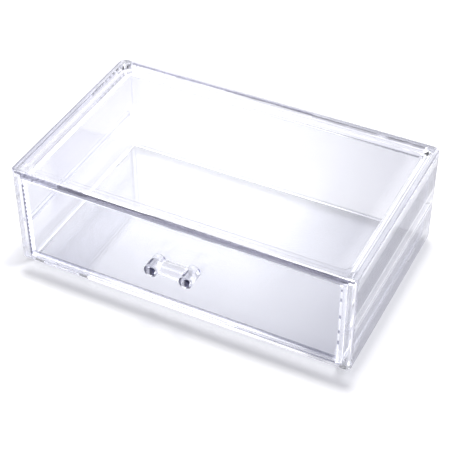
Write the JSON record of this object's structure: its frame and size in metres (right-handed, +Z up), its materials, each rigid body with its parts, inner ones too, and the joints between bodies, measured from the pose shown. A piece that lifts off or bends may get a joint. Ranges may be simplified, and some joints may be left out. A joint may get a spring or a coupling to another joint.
{
  "type": "desktop storage drawer unit",
  "caption": "Clear plastic desktop storage unit: a wide low case with a stepped stacking top and a sliding drawer with a bar pull.",
  "frame": {"origin": "on the table, under the middle of the whole unit's outline with the drawer closed and its pull counted in; the case's front face is at y = -64.25 mm and its back face at y = 78.25 mm", "axes": "+X to the right seen from the front, +Y from the drawer's front towards the back, +Z up"},
  "size_m": [0.24, 0.1564, 0.077],
  "materials": {
    "clear_case": "polished water-clear acrylic",
    "clear_cover": "polished water-clear acrylic",
    "clear_rail": "clear acrylic with a faintly frosted bonded face",
    "clear_drawer": "polished water-clear acrylic",
    "clear_pull": "polished water-clear acrylic with bevelled ends"
  },
  "bodies": {
    "case": {"case_body": "clear_case", "top_cover": "clear_cover", "left_guide_rail": "clear_rail", "right_guide_rail": "clear_rail"},
    "drawer": {"drawer_front": "clear_drawer", "drawer_floor": "clear_drawer", "drawer_left_wall": "clear_drawer", "drawer_right_wall": "clear_drawer", "drawer_back_wall": "clear_drawer", "pull_left_post": "clear_pull", "pull_right_post": "clear_pull", "pull_crossbar": "clear_pull"}
  },
  "joints": [
    {"name": "drawer_slide", "type": "slide", "parent": "case", "child": "drawer", "axis": [0, -1, 0], "range_m": [0, 0.12]}
  ]
}
